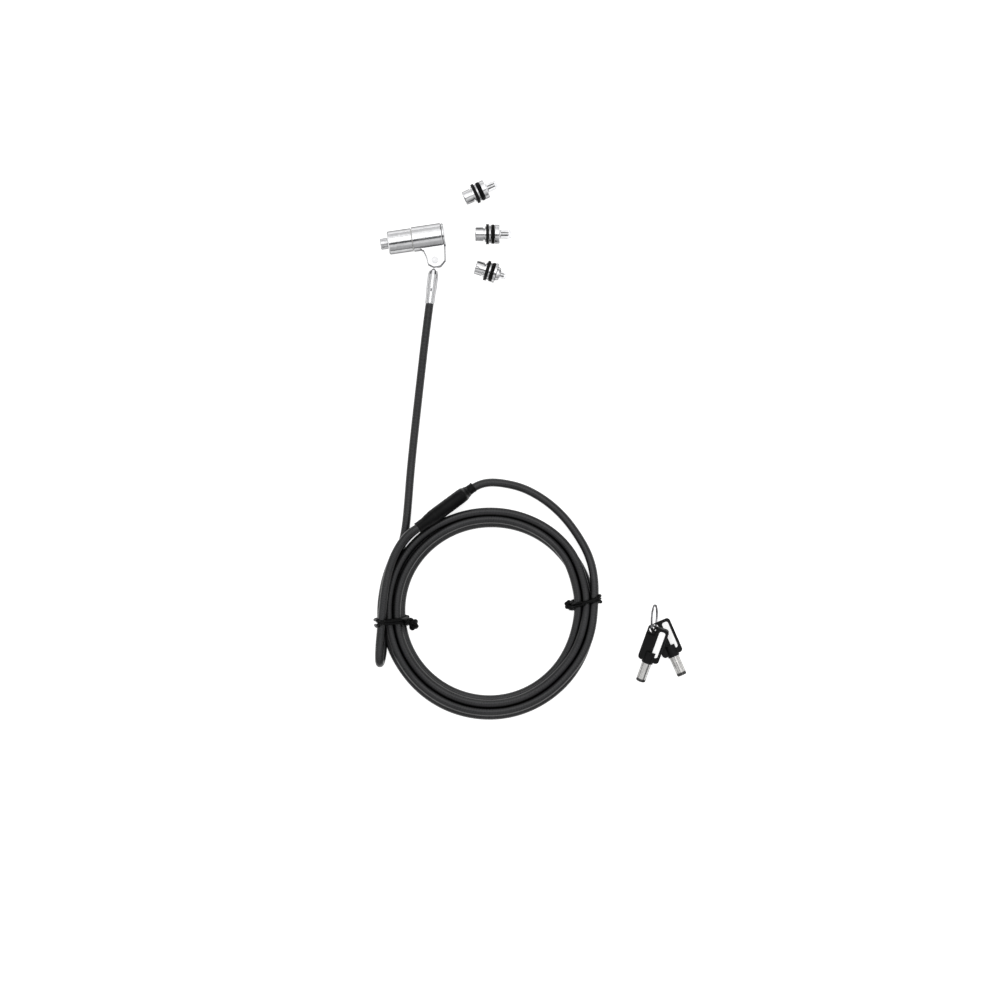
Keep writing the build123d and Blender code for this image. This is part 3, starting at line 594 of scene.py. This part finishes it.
LEFT_STRANDS = [(59.4, 2.75), (70.5, 2.75), (73.2, 8.0), (71.8, 13.4), (62.2, 7.5), (67.8, 7.5)]
RIGHT_STRANDS = [(58.4, 5.2), (67.6, 2.75), (69.9, 8.2), (63.6, 8.0)]
LEFT_ENDS = [([(57.8, 1.6, 9.0), (54.8, 0.9, 8.6), (52.2, 1.0, 7.8), (50.8, 2.4, 6.6), (50.9, 4.4, 5.4),
               (52.2, 5.4, 4.6), (53.2, 4.2, 4.4), (52.4, 2.9, 4.8)], 1.45, 2.6)]
RIGHT_ENDS = [([(57.6, -0.2, 7.6), (55.4, -1.4, 6.9), (53.3, -1.7, 5.8), (51.5, -0.8, 4.8),
                (51.4, 0.9, 4.2), (52.7, 1.7, 4.0), (54.2, 0.9, 4.4)], 1.15, 3.0),
              ([(68.0, 1.6, 11.0), (70.4, 1.8, 10.6), (72.2, 2.6, 9.4), (72.7, 3.6, 8.4)], 1.35, 1.0)]
tie_left = twist_tie("twist_tie_left_wire", "twist_tie_left", 185.0, LEFT_STRANDS, LEFT_ENDS)
tie_right = twist_tie("twist_tie_right_wire", "twist_tie_right", 5.5, RIGHT_STRANDS, RIGHT_ENDS, 0.15)

# ---------------------------------------------------------------- split ring for the keys
RING_R = 8.5
RING_WIRE = 0.36


ring_steel = plated_metal("ring_steel", (0.42, 0.42, 0.43), 0.16, 0.28)


def split_ring():
    origin, chord = joint_line("ring_swing")
    low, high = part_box("key_ring")
    middle = (low + high) / 2 / MM
    outward = Vector((0.06, 1, 0))
    outward = (outward - chord * outward.dot(chord)).normalized()
    normal = outward.cross(chord).normalized()
    line = []
    steps = 150
    turns = 2.08
    for index in range(steps + 1):
        progress = index / steps
        a = math.radians(200) + 2 * math.pi * turns * progress
        step_over = RING_WIRE * 1.02 * math.tanh((progress - 0.5) * 14)
        line.append(middle + (outward * math.cos(a) + chord * math.sin(a)) * RING_R + normal * step_over)
    piece = lofted("split_ring", wire_rings(line, RING_WIRE, RING_WIRE, normal, 12), ring_steel)
    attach(piece, "ring")
    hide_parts("key_ring")
    return piece


split_ring()


# ---------------------------------------------------------------- stage, light and camera
FLOOR_WIDTH = 8.0
FLOOR_CELLS = 8
FLOOR_DROP = 0.02                    # mm below the part, so that the two never share a face


def stage_floor():
    cells = FLOOR_CELLS
    ticks = [(i / cells - 0.5) * FLOOR_WIDTH / MM for i in range(cells + 1)]
    vertices = [(x, y, -FLOOR_DROP) for x in ticks for y in ticks]
    faces = []
    for i in range(cells):
        for j in range(cells):
            a = i * (cells + 1) + j
            faces.append((a, a + cells + 1, a + cells + 2, a + 1))
    made = mesh_piece("floor", vertices, faces, floor_material())


LIGHT_DISTANCE = 2.7


def softbox(name, low, high, width, radiance, turn=0.0, aside=0.0):
    """A soft light over an arc of sky, in degrees off the zenith towards +Y, turned, then moved aside."""
    middle, half = math.radians((low + high) / 2), math.radians((high - low) / 2)
    height = 2 * LIGHT_DISTANCE * math.tan(half)
    data = bpy.data.lights.new(name, "AREA")
    data.shape = "RECTANGLE"
    data.size, data.size_y = width, height
    data.energy = 4 * radiance * width * height
    lamp = bpy.data.objects.new(name, data)
    lamp.visible_camera = False
    a = math.radians(turn)
    direction = Vector((-math.sin(middle) * math.sin(a), math.sin(middle) * math.cos(a), math.cos(middle)))
    lamp.location = direction * LIGHT_DISTANCE + Vector((aside, 0, 0))
    lamp.rotation_euler = direction.to_track_quat("Z", "Y").to_euler()
    bpy.context.scene.collection.objects.link(lamp)
    return lamp


def studio():
    """Bright sky towards +Y, a dark strip just short of the zenith, softer light from the other sides."""
    world = bpy.data.worlds.new("studio")
    world.use_nodes = True
    world.node_tree.nodes["Background"].inputs["Color"].default_value = (0.95, 0.97, 1.0, 1)
    world.node_tree.nodes["Background"].inputs["Strength"].default_value = 0.08
    bpy.context.scene.world = world
    softbox("sky_light", -1.5, 40, 2.8, 1.18)
    softbox("upper_light", 40, 60, 2.8, 0.85)
    softbox("far_light", 60, 88, 2.8, 0.55)
    softbox("front_light", -46, -22, 2.8, 0.55)
    softbox("low_light", -88, -46, 2.8, 0.32)
    softbox("gap_light_left", -22, -1.5, 0.92, 0.7, 0.0, -1.25)
    softbox("gap_light_right", -22, -1.5, 1.20, 0.9, 0.0, 1.0)
    softbox("left_light", 34, 80, 3.2, 0.5, 90)
    softbox("right_light", 34, 80, 3.2, 0.5, -90)


def camera():
    data = bpy.data.cameras.new("camera")
    data.sensor_width = SENSOR
    data.lens = SENSOR * CAMERA_HEIGHT / VIEW_WIDTH
    data.clip_end = 20
    made = bpy.data.objects.new("camera", data)
    made.location = (VIEW_CENTRE[0] * MM, VIEW_CENTRE[1] * MM, CAMERA_HEIGHT * MM)
    bpy.context.scene.collection.objects.link(made)
    bpy.context.scene.camera = made


stage_floor()
studio()
camera()
bpy.context.scene.view_settings.view_transform = "Standard"
